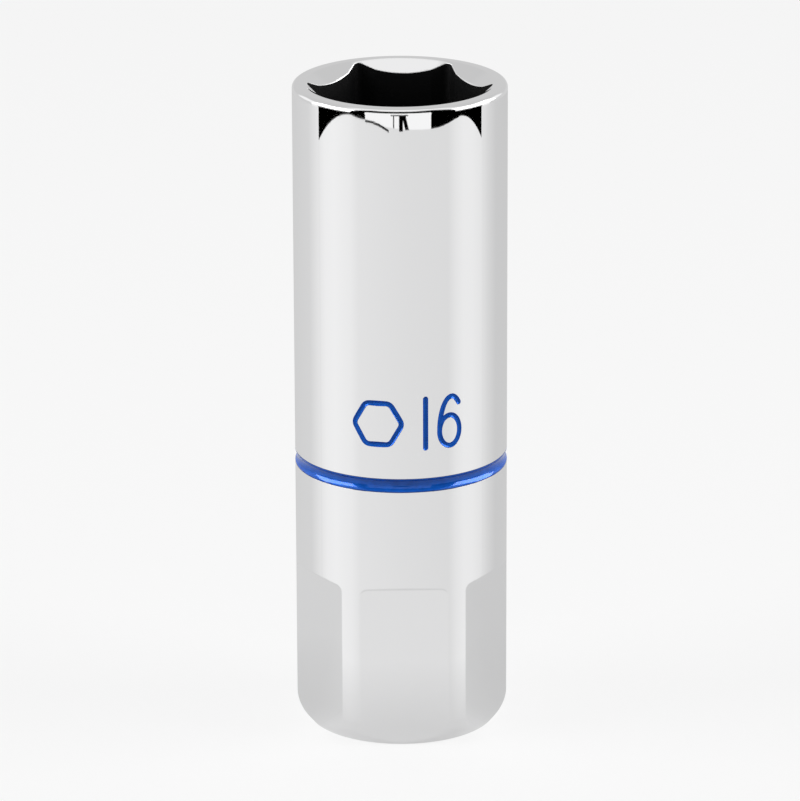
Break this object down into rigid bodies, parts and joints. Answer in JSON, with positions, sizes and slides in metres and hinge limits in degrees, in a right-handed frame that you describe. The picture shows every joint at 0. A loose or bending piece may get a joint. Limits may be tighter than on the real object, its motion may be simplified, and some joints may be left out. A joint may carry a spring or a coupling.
{
  "type": "spark plug socket",
  "caption": "Tall chrome-plated six-point spark plug socket with a coned mouth, a rubber plug grip in its bore, wrench flats round a square drive end and a blue enamel band.",
  "frame": {"origin": "middle of the drive end's face, on the socket's axis, where it stands", "axes": "+Z along the axis from the drive end to the mouth; two wrench flats face +Y and -Y"},
  "size_m": [0.022, 0.022, 0.0685],
  "materials": {
    "chrome_plate": "bright chrome plate on steel",
    "black_rubber": "matt moulded rubber",
    "blue_enamel": "gloss enamel"
  },
  "bodies": {
    "root": {"socket_body": "chrome_plate", "rubber_insert": "black_rubber", "colour_band": "blue_enamel"}
  },
  "joints": []
}
